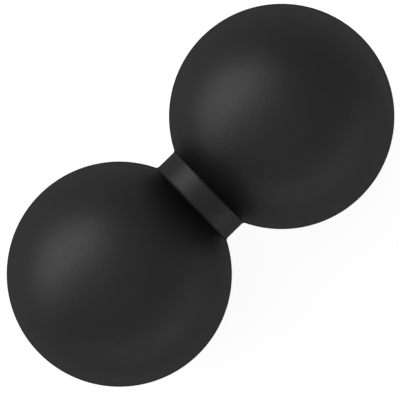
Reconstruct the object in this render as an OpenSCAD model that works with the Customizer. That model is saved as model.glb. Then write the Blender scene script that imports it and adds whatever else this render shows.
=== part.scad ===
// Double massage ball: two firm, silicone-covered balls held side by side by a short waist.
// Origin: middle of the waist, on the long axis. The long axis is X, and +Z is up when the
// double ball lies on a floor or a mat, carried on both balls.
//
// How it goes together, from the inside out:
//   spine        stiff moulded rod, the only piece that runs from ball to ball
//   core_*       firm rubber ball, moulded over each barbed end of the spine
//   cover_*      soft silicone cover, moulded over each core through the gap at the waist
//   waist_band   silicone ring, moulded last between the two covers and on to the spine

/* [Balls] */
// Outside diameter of each ball
ball_d = 65; // [60:0.5:75]
// Free gap between the two covers, measured on the long axis
pole_gap = 0.4; // [0.2:0.1:1.5]
// Thickness of the silicone cover over the core
cover_t = 6; // [4.5:0.25:8]

/* [Waist band] */
// Outside diameter of the band
band_d = 28.4; // [25:0.2:34]
// Radius of the fillet that runs from the band out on to each ball
band_fillet = 1.2; // [0.6:0.1:2]
// Thickness at which the fillet's thin rim ends on the ball
band_rim_t = 0.1; // [0.05:0.01:0.2]

/* [Spine] */
// Diameter of the spine where it passes through the covers
spine_d = 14; // [12:0.5:16]
// Distance between the two shoulders that the cores seat against
shoulder_gap = 20; // [19:0.5:24]
// Diameter of the flange in the middle, which the waist band grips
flange_d = 20; // [18:0.5:22]
// Thickness of the flange at its rim
flange_t = 1.4; // [1:0.1:1.8]
// Diameter of the shank inside each core
shank_d = 8; // [6:0.5:10]
// Number of barbs on each end
barb_count = 4; // [2:1:5]
// Distance from one barb to the next
barb_pitch = 5; // [4.5:0.25:6]
// Height of a barb above the shank
barb_h = 3; // [2:0.25:4]
// Number of fins between the barbs, which stop a core turning on the spine
fin_count = 4; // [3:1:6]
// Thickness of a fin
fin_t = 2; // [1.5:0.25:3]

/* [Core keys] */
// Number of ring grooves that lock the cover to its core
key_count = 5; // [1:2:7]
// Angle from one groove to the next, seen from the middle of the ball
key_step = 24; // [16:1:26]
// Radius of a groove's round section
key_r = 1.5; // [0.8:0.1:2]

/* [Hidden] */

$fn = 200;

ball_r = ball_d / 2;
ball_x = (ball_d + pole_gap) / 2;
core_r = ball_r - cover_t;
spine_r = spine_d / 2;
shank_r = shank_d / 2;
barb_r = shank_r + barb_h;
shoulder_x = shoulder_gap / 2;
anchor_l = barb_count * barb_pitch;

// A barb fills this share of its pitch, and the rubber behind it fills the rest.
barb_share = 0.6;
// A fin stops this far below the edges of the barbs.
fin_drop = 1;
// The flange is a dovetail: at its root it has this share of its thickness at the rim.
flange_root_share = 0.6;

silicone = [0.10, 0.10, 0.105];
firm_rubber = [0.27, 0.25, 0.24];
nylon = [0.80, 0.77, 0.70];

// The fillet is an arc that touches the band's cylinder at fillet_x and leans on the ball.
// Its centre is one ball radius and one fillet radius away from the ball's own centre.
band_r = band_d / 2;
fillet_centre_r = band_r + band_fillet;
fillet_x = ball_x - sqrt(pow(ball_r + band_fillet, 2) - pow(fillet_centre_r, 2));
// Arc and ball part slowly from where they touch, so the rim has its thickness this far back.
rim_back = sqrt(2 * band_rim_t / (1 / band_fillet + 1 / ball_r));
touch_r = ball_r * fillet_centre_r / (ball_r + band_fillet);
touch_slope = acos(fillet_centre_r / (ball_r + band_fillet));
rim_r = touch_r - rim_back * sin(touch_slope);
fillet_sweep = acos(1 - (rim_r - band_r) / band_fillet);
fillet_steps = 16;

// Every piece is turned about the long axis, so each is drawn upright, with that axis on Z.
// This lays a finished piece down on X.
module laid() {
    rotate([0, 90, 0]) children();
}

// The left half is the right half's mirror image.
module on_left() {
    mirror([1, 0, 0]) children();
}

module ball(radius) {
    translate([0, 0, ball_x]) sphere(r = radius);
}

// One barbed, finned end of the spine, from its shoulder outwards.
module anchor() {
    translate([0, 0, shoulder_x]) {
        cylinder(r = shank_r, h = anchor_l);
        for (i = [0:barb_count - 1])
            translate([0, 0, (i + 1 - barb_share) * barb_pitch])
                cylinder(r1 = barb_r, r2 = shank_r, h = barb_share * barb_pitch);
        for (i = [0:fin_count - 1])
            rotate([0, 0, i * 360 / fin_count])
                translate([0, -fin_t / 2, 0])
                    cube([barb_r - fin_drop, fin_t, anchor_l - barb_share * barb_pitch]);
    }
}

// The flange's half section widens towards the rim, so that the waist band can't slip off it.
module flange() {
    root_t = flange_t * flange_root_share;
    rotate_extrude()
        polygon([
            [0, -root_t / 2],
            [spine_r, -root_t / 2],
            [flange_d / 2, -flange_t / 2],
            [flange_d / 2, flange_t / 2],
            [spine_r, root_t / 2],
            [0, root_t / 2]
        ]);
}

module spine_blank() {
    cylinder(r = spine_r, h = shoulder_gap, center = true);
    flange();
    anchor();
    mirror([0, 0, 1]) anchor();
}

// Ring grooves round the core, evenly spread to both sides of its middle.
module key_grooves() {
    translate([0, 0, ball_x])
        for (i = [0:key_count - 1]) {
            angle = (i - (key_count - 1) / 2) * key_step;
            rotate_extrude()
                translate([core_r * cos(angle), core_r * sin(angle)])
                    circle(r = key_r);
        }
}

// What the cover is moulded over: the core with its grooves, still without the spine's hole.
module core_blank() {
    difference() {
        ball(core_r);
        key_grooves();
    }
}

// Half of the band's outline, from the middle out to past the ball that will cut it off.
function band_outline() = concat(
    [for (i = [0:fillet_steps])
        let (a = fillet_sweep * i / fillet_steps)
        [band_r + band_fillet * (1 - cos(a)), fillet_x + band_fillet * sin(a)]],
    [[rim_r, fillet_x + band_fillet]]
);

module spine() {
    color(nylon) laid() spine_blank();
}

module core() {
    color(firm_rubber) laid() difference() {
        core_blank();
        spine_blank();
    }
}

module cover() {
    color(silicone) laid() difference() {
        ball(ball_r);
        core_blank();
        cylinder(r = spine_r, h = shoulder_gap, center = true);
    }
}

module waist_band() {
    outline = band_outline();
    last = len(outline) - 1;
    color(silicone) laid() difference() {
        rotate_extrude()
            polygon(concat(
                [[spine_r, -outline[last].y]],
                [for (i = [last:-1:0]) [outline[i].x, -outline[i].y]],
                outline,
                [[spine_r, outline[last].y]]
            ));
        ball(ball_r);
        mirror([0, 0, 1]) ball(ball_r);
        spine_blank();
    }
}

spine();
on_left() core();  // core_left
core();  // core_right
on_left() cover();  // cover_left
cover();  // cover_right
waist_band();
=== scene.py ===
"""Double massage ball: two silicone-covered balls joined by a short banded waist.

Metres throughout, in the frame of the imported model: the long axis is X, the middle of the waist
is the origin, and +Z is up from the floor that both balls lie on.
"""

import math

import bpy
import numpy as np
from mathutils import Matrix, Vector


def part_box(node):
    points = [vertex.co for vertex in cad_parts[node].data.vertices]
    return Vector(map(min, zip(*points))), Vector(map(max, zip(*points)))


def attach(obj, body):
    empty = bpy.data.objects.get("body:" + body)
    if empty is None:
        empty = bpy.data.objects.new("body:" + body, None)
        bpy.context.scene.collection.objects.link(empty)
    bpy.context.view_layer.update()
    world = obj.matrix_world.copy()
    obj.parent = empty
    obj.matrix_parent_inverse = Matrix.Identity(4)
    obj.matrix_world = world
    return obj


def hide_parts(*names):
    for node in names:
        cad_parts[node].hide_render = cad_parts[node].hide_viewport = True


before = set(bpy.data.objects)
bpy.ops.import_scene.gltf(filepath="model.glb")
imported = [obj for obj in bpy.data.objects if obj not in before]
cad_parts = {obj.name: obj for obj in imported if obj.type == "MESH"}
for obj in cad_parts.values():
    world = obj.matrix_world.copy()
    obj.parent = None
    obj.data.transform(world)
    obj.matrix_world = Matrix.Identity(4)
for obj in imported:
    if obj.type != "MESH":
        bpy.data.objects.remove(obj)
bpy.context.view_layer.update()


# ---- Spine -------------------------------------------------------------------------------
# The stiff rod from ball to ball is moulded in glass-filled nylon, off-white and slightly
# waxy. It comes first in the mould, and every other piece is moulded over it.

def new_material(name, colour, roughness):
    """A Principled material with an even colour and roughness, and its node tools."""
    material = bpy.data.materials.new(name)
    material.use_nodes = True
    nodes, links = material.node_tree.nodes, material.node_tree.links
    shader = nodes["Principled BSDF"]
    shader.inputs["Base Color"].default_value = (*colour, 1.0)
    shader.inputs["Roughness"].default_value = roughness
    return material, nodes, links, shader


def object_noise(nodes, links, scale, detail, stretch=(1.0, 1.0, 1.0)):
    """Fractal noise on Object coordinates: scale is in features per metre."""
    place = nodes.new("ShaderNodeTexCoord")
    mapping = nodes.new("ShaderNodeMapping")
    mapping.inputs["Scale"].default_value = stretch
    noise = nodes.new("ShaderNodeTexNoise")
    noise.inputs["Scale"].default_value = scale
    noise.inputs["Detail"].default_value = detail
    links.new(place.outputs["Object"], mapping.inputs["Vector"])
    links.new(mapping.outputs["Vector"], noise.inputs["Vector"])
    return noise.outputs["Fac"]


def mottle(nodes, links, shader, noise, colour_swing, roughness_swing):
    """Makes the colour and roughness swing to both sides of their even values with a noise.

    Over the middle of the noise, from 0.3 to 0.7, the colour goes from colour_swing below its
    even value to colour_swing above it, and stays there beyond. The roughness goes from
    roughness_swing below to roughness_swing above as the noise goes from 0 to 1.
    """
    even_colour = shader.inputs["Base Color"].default_value[:3]
    ramp = nodes.new("ShaderNodeValToRGB")
    for stop, position, side in zip(ramp.color_ramp.elements, (0.3, 0.7), (-1, 1)):
        stop.position = position
        stop.color = (*(part + side * swing for part, swing in zip(even_colour, colour_swing)), 1.0)
    links.new(noise, ramp.inputs["Fac"])
    links.new(ramp.outputs["Color"], shader.inputs["Base Color"])

    even_roughness = shader.inputs["Roughness"].default_value
    ranged = nodes.new("ShaderNodeMapRange")
    ranged.inputs["To Min"].default_value = even_roughness - roughness_swing
    ranged.inputs["To Max"].default_value = even_roughness + roughness_swing
    links.new(noise, ranged.inputs["Value"])
    links.new(ranged.outputs["Result"], shader.inputs["Roughness"])


def raise_grain(nodes, links, shader, height, depth):
    """Turns a height in 0..1 into relief of the given depth, in metres."""
    bump = nodes.new("ShaderNodeBump")
    bump.inputs["Distance"].default_value = depth
    links.new(height, bump.inputs["Height"])
    links.new(bump.outputs["Normal"], shader.inputs["Normal"])


nylon, nodes, links, shader = new_material("nylon", colour=(0.58, 0.53, 0.43), roughness=0.43)
flow_marks = object_noise(nodes, links, scale=260, detail=3, stretch=(0.2, 1.0, 1.0))
mottle(nodes, links, shader, flow_marks, colour_swing=(0.06, 0.07, 0.07), roughness_swing=0.09)
glass_grain = object_noise(nodes, links, scale=4000, detail=2)
raise_grain(nodes, links, shader, glass_grain, depth=0.00001)


def refinish(node, material):
    """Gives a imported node, whose shape stays as it is, its finished material."""
    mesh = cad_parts[node].data
    mesh.materials.clear()
    mesh.materials.append(material)


refinish("spine", nylon)


# ---- Cores -------------------------------------------------------------------------------
# Each ball's firm heart is filled rubber, dark grey-brown and dull, moulded over one end of
# the spine. Its ring grooves hold the silicone that is moulded over it.

firm_rubber, nodes, links, shader = new_material(
    "firm_rubber", colour=(0.06, 0.0545, 0.049), roughness=0.71
)
filler = object_noise(nodes, links, scale=900, detail=4)
mottle(nodes, links, shader, filler, colour_swing=(0.015, 0.0135, 0.012), roughness_swing=0.09)
crumb = object_noise(nodes, links, scale=1800, detail=3)
raise_grain(nodes, links, shader, crumb, depth=0.00003)

refinish("core_left", firm_rubber)
refinish("core_right", firm_rubber)


# ---- Covers ------------------------------------------------------------------------------
# Each cover is one skin of soft silicone, 6 mm thick, moulded over its core. It is black with
# a matt, spark-eroded grain, and the mould's parting line runs round it level with the axis.

cover_low, cover_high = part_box("cover_right")
ball_r = -cover_low.z
ball_x = cover_high.x - ball_r
core_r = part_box("core_right")[1].x - ball_x

# The bore for the spine, and the ring grooves' radius, spacing and number.
spine_r = 0.007
key_r = 0.0015
key_step = math.radians(24)
key_count = 5

# The parting line's height and width.
parting_h = 0.00006
parting_w = 0.00012

# How finely the meshes are divided: round the axis, and along each stretch of the profile.
columns = 288
skin_rings = 190
core_arc_rings = 9
key_arc_rings = 13


def parted_angles(count):
    """Angles round the long axis from +Z, drawn close together at the two parting lines.

    The angle is t + 0.46 sin 2t for even steps of t, so its steps are 1.92 times the even
    ones at the top and bottom and 0.08 times them at the sides, where the lines are.
    """
    even = np.arange(count) * 2 * np.pi / count
    return even + 0.46 * np.sin(2 * even)


def shown(name, mesh):
    """Puts a mesh into the scene as an object of that name."""
    piece = bpy.data.objects.new(name, mesh)
    bpy.context.scene.collection.objects.link(piece)
    return piece


def turned(name, along, out, angles, capped):
    """A surface of revolution about X.

    A profile point at x along the axis and r out from it, turned by the angle t, lies at
    (x, r sin t, r cos t). A capped profile starts and ends on the axis, where each end is a
    single point with a fan of triangles. One that isn't capped is a loop and closes on itself.
    """
    rings = slice(1, -1) if capped else slice(None)
    x, r = along[rings], out[rings]
    spots = np.stack([
        np.repeat(x[:, None], len(angles), 1),
        r[:, None] * np.sin(angles),
        r[:, None] * np.cos(angles),
    ], axis=-1).reshape(-1, 3)
    rows, steps = len(x), len(angles)
    here = np.arange(steps)
    after = (here + 1) % steps
    first = np.arange(rows - 1 if capped else rows)
    low = first[:, None] * steps
    high = ((first + 1) % rows)[:, None] * steps
    faces = np.stack([low + here, low + after, high + after, high + here], axis=-1)
    faces = faces.reshape(-1, 4).tolist()
    if capped:
        ends = np.array([[along[0], 0, 0], [along[-1], 0, 0]])
        start_tip = np.full(steps, rows * steps)
        finish_tip = start_tip + 1
        last = (rows - 1) * steps
        spots = np.concatenate([spots, ends])
        faces += np.stack([after, here, start_tip], axis=-1).tolist()
        faces += np.stack([last + here, last + after, finish_tip], axis=-1).tolist()
    mesh = bpy.data.meshes.new(name)
    mesh.from_pydata(spots.tolist(), [], faces)
    mesh.shade_smooth()
    return shown(name, mesh)


def mirrored(name, piece):
    """A copy of a piece, mirrored across the plane x = 0."""
    mesh = piece.data.copy()
    spots = np.empty(len(mesh.vertices) * 3)
    mesh.vertices.foreach_get("co", spots)
    mesh.vertices.foreach_set("co", (spots.reshape(-1, 3) * [-1, 1, 1]).ravel())
    mesh.flip_normals()
    return shown(name, mesh)


def arc(centre_x, radius, angles, centre_r=0.0):
    """Points (x, r) at the angles, from +X towards +r, on a circle round (centre_x, centre_r)."""
    return np.stack([centre_x + radius * np.cos(angles), centre_r + radius * np.sin(angles)])


def skin_profile():
    """Half section of the skin, from the outer pole round the outside, the bore and the lining.

    Outside it is a circle of ball_r round the ball's middle. The lining is a circle of core_r,
    broken at each ring groove by a rib: an arc of key_r round the point of the core's circle in
    the groove's middle. The two circles meet key_half to each side of it, and the arc between
    them takes up key_swing to each side of the line to the ball's middle.
    """
    outside_end = np.pi - math.asin(spine_r / ball_r)
    parts = [arc(ball_x, ball_r, np.linspace(0, outside_end, skin_rings))]
    key_half = 2 * math.asin(key_r / (2 * core_r))
    key_swing = math.acos(key_r / (2 * core_r))
    rib = np.linspace(key_swing, -key_swing, key_arc_rings)[1:-1]
    start = np.pi - math.asin(spine_r / core_r)
    for i in range(key_count):
        middle = np.pi / 2 + ((key_count - 1) / 2 - i) * key_step
        parts.append(arc(ball_x, core_r, np.linspace(start, middle + key_half, core_arc_rings)))
        rib_x = ball_x + core_r * math.cos(middle)
        parts.append(arc(rib_x, key_r, middle + np.pi - rib, core_r * math.sin(middle)))
        start = middle - key_half
    parts.append(arc(ball_x, core_r, np.linspace(start, 0, 2 * core_arc_rings)))
    return np.concatenate(parts, axis=1)


def raise_parting_line(piece, outside):
    """Lifts a fine ridge along the plane z = 0, where outside says that the surface is bare.

    The lift is parting_h times exp(-(z / parting_w)^2) along the surface's own normal, so it
    dies out within three widths.
    """
    mesh = piece.data
    spots = np.empty(len(mesh.vertices) * 3)
    normals = np.empty(len(mesh.vertices) * 3)
    mesh.vertices.foreach_get("co", spots)
    mesh.vertex_normals.foreach_get("vector", normals)
    spots, normals = spots.reshape(-1, 3), normals.reshape(-1, 3)
    lift = parting_h * np.exp(-(spots[:, 2] / parting_w) ** 2) * outside(spots)
    spots += normals * lift[:, None]
    mesh.vertices.foreach_set("co", spots.ravel())
    mesh.update()


def off_the_core(spots):
    """True for the points of the right cover that lie on its outer skin."""
    return np.linalg.norm(spots - [ball_x, 0, 0], axis=1) > (ball_r + core_r) / 2


def calculated(nodes, links, operation, first, second):
    """A Math node's result, where each side is a number or another node's output."""
    node = nodes.new("ShaderNodeMath")
    node.operation = operation
    for socket, side in zip(node.inputs, (first, second)):
        if isinstance(side, bpy.types.NodeSocket):
            links.new(side, socket)
        else:
            socket.default_value = side
    return node.outputs[0]


def fading_shine(nodes, links, head_on, power):
    """The mirror-like share of a matt grain: head_on times the view angle's cosine to a power.

    Layer Weight's Facing value is 1 less that cosine.
    """
    view = nodes.new("ShaderNodeLayerWeight")
    view.inputs["Blend"].default_value = 0.5
    cosine = calculated(nodes, links, "SUBTRACT", 1.0, view.outputs["Facing"])
    falloff = calculated(nodes, links, "POWER", cosine, power)
    return calculated(nodes, links, "MULTIPLY", falloff, head_on)


black_silicone, nodes, links, shader = new_material(
    "black_silicone", colour=(0.004, 0.004, 0.0042), roughness=0.51
)
shader.inputs["IOR"].default_value = 1.41
shine = fading_shine(nodes, links, head_on=0.6, power=2.25)
links.new(shine, shader.inputs["Specular IOR Level"])
bloom = object_noise(nodes, links, scale=160, detail=3)
mottle(nodes, links, shader, bloom, colour_swing=(0.0004, 0.0004, 0.0004), roughness_swing=0.04)
eroded_grain = object_noise(nodes, links, scale=1400, detail=2)
raise_grain(nodes, links, shader, eroded_grain, depth=0.00005)

cover_right = turned("ball_cover_right", *skin_profile(), parted_angles(columns), capped=True)
raise_parting_line(cover_right, off_the_core)
cover_left = mirrored("ball_cover_left", cover_right)

for cover, node in ((cover_left, "cover_left"), (cover_right, "cover_right")):
    cover.data.materials.append(black_silicone)
    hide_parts(node)
    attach(cover, "root")


# ---- Waist band --------------------------------------------------------------------------
# The band is a silicone ring moulded last, into the gap between the covers and on to the
# spine's flange. Its fillets run out on to both balls and end there in a thin lip.

band_r = 0.0142
fillet = 0.0012
lip_t = 0.0001

# The spine's flange is a dovetail, with 0.6 of its rim's thickness at its root.
flange_r = 0.010
flange_half = 0.0007
root_half = 0.6 * flange_half

# How many points each stretch of the half section has.
face_points = 8
fillet_points = 24
seat_points = 24


def band_profile():
    """Half section of the band, as a loop of points (x, r).

    The fillet is an arc of radius fillet that leaves the band's cylinder level and would touch
    the ball. It stops where it is still lip_t away from the ball. Under the lip the section
    follows the ball down to the spine, and then the flange's dovetail, which is root_half to
    each side at the spine and flange_half to each side at its rim.
    """
    centre_r = band_r + fillet
    fillet_x = ball_x - math.sqrt((ball_r + fillet) ** 2 - centre_r ** 2)
    touch = math.atan2(ball_x - fillet_x, centre_r)
    back = math.sqrt(2 * lip_t / (1 / fillet + 1 / ball_r)) / fillet
    sweep = np.linspace(0, touch - back, fillet_points)
    face_x = np.linspace(0, fillet_x, face_points)[:-1]
    arc_x, arc_r = fillet_x + fillet * np.sin(sweep), centre_r - fillet * np.cos(sweep)
    seat_r = np.linspace(arc_r[-1] - lip_t * math.cos(touch), spine_r, seat_points)
    seat_x = ball_x - np.sqrt(ball_r ** 2 - seat_r ** 2)
    half_x = np.concatenate([face_x, arc_x, seat_x, [root_half, flange_half, 0]])
    half_r = np.concatenate([np.full(len(face_x), band_r), arc_r, seat_r, [spine_r, flange_r, flange_r]])
    back_again = slice(-2, 0, -1)
    loop_x = np.concatenate([half_x, -half_x[back_again]])
    loop_r = np.concatenate([half_r, half_r[back_again]])
    return np.stack([loop_x, loop_r])[:, ::-1]


def off_the_spine(spots):
    """True for the points of the band that lie on its cylinder and its fillets."""
    return np.hypot(spots[:, 1], spots[:, 2]) > band_r - lip_t / 2


band = turned("waist_ring", *band_profile(), parted_angles(columns), capped=False)
raise_parting_line(band, off_the_spine)
band.data.materials.append(black_silicone)
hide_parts("waist_band")
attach(band, "root")


# ---- Floor, light and camera -------------------------------------------------------------
# The part lies on a plain table top, which shows as white, and is seen from straight above with
# its long axis rising to the upper right. A large soft lamp stands at the left, and a low, wide
# one at the lower right fills in the far side.

# What the floor adds to its own shade where it is seen, directly or in a reflection.
floor_lift = 0.85
floor_w = 6.0
bpy.ops.mesh.primitive_plane_add(size=floor_w, location=(0, 0, -ball_r))
floor = bpy.context.object
floor.name = "floor"
table_top, nodes, links, shader = new_material("table_top", colour=(0.3, 0.3, 0.3), roughness=0.9)
shader.inputs["Specular IOR Level"].default_value = 0.0
path = nodes.new("ShaderNodeLightPath")
seen = path.outputs["Is Camera Ray"]
for ray in ("Is Glossy Ray", "Is Transmission Ray"):
    seen = calculated(nodes, links, "MAXIMUM", seen, path.outputs[ray])
lift = calculated(nodes, links, "MULTIPLY", seen, floor_lift)
shader.inputs["Emission Color"].default_value = (1, 1, 1, 1)
links.new(lift, shader.inputs["Emission Strength"])
floor.data.materials.append(table_top)

scene = bpy.context.scene
scene.view_settings.view_transform = "Standard"

world = bpy.data.worlds.new("studio")
scene.world = world
world.use_nodes = True
room = world.node_tree.nodes["Background"]
room.inputs["Color"].default_value = (1, 1, 1, 1)
room.inputs["Strength"].default_value = 0.55

lamp_distance = 1.5
axis_tilt = 44.16


def soft_lamp(name, azimuth, elevation, half_w, half_h, roll, radiance):
    """A rectangular lamp aimed at the waist and hidden from the camera, all angles in degrees.

    It stands lamp_distance away. Its azimuth is measured about Z from the camera's right, and
    the part's long axis lies axis_tilt from there. It reaches half_w and half_h to its sides as
    seen from the waist, and is turned by roll about the line to it. Its power is pi times its
    area times its radiance.
    """
    lamp = bpy.data.lights.new(name, "AREA")
    lamp.shape = "RECTANGLE"
    lamp.size = 2 * lamp_distance * math.tan(math.radians(half_w))
    lamp.size_y = 2 * lamp_distance * math.tan(math.radians(half_h))
    lamp.energy = math.pi * lamp.size * lamp.size_y * radiance
    stand = bpy.data.objects.new(name, lamp)
    stand.visible_camera = False
    stand.matrix_world = (
        Matrix.Rotation(math.radians(azimuth - axis_tilt + 90), 4, "Z")
        @ Matrix.Rotation(math.radians(90 - elevation), 4, "X")
        @ Matrix.Translation((0, 0, lamp_distance))
        @ Matrix.Rotation(math.radians(roll), 4, "Z")
    )
    scene.collection.objects.link(stand)


soft_lamp("key", azimuth=164.5, elevation=18.5, half_w=18, half_h=47.5, roll=54.5, radiance=3.92)
soft_lamp("fill", azimuth=306, elevation=4, half_w=65, half_h=5, roll=0, radiance=3.5)

# At the waist the camera sees a square of view_w, whose middle the two aims move. It leans
# towards +X by camera_lean degrees.
view_w = 0.11555
view_distance = 2.0
aim_right, aim_up = -0.00013, -0.00135
camera_lean = 0.85
camera_data = bpy.data.cameras.new("camera")
camera_data.sensor_width = 36
camera_data.lens = camera_data.sensor_width * view_distance / view_w
camera_data.clip_end = 10
camera = bpy.data.objects.new("camera", camera_data)
scene.collection.objects.link(camera)
camera.matrix_world = (
    Matrix.Rotation(math.radians(camera_lean), 4, "Y")
    @ Matrix.Rotation(math.radians(-axis_tilt), 4, "Z")
    @ Matrix.Translation((aim_right, aim_up, view_distance))
)
scene.camera = camera
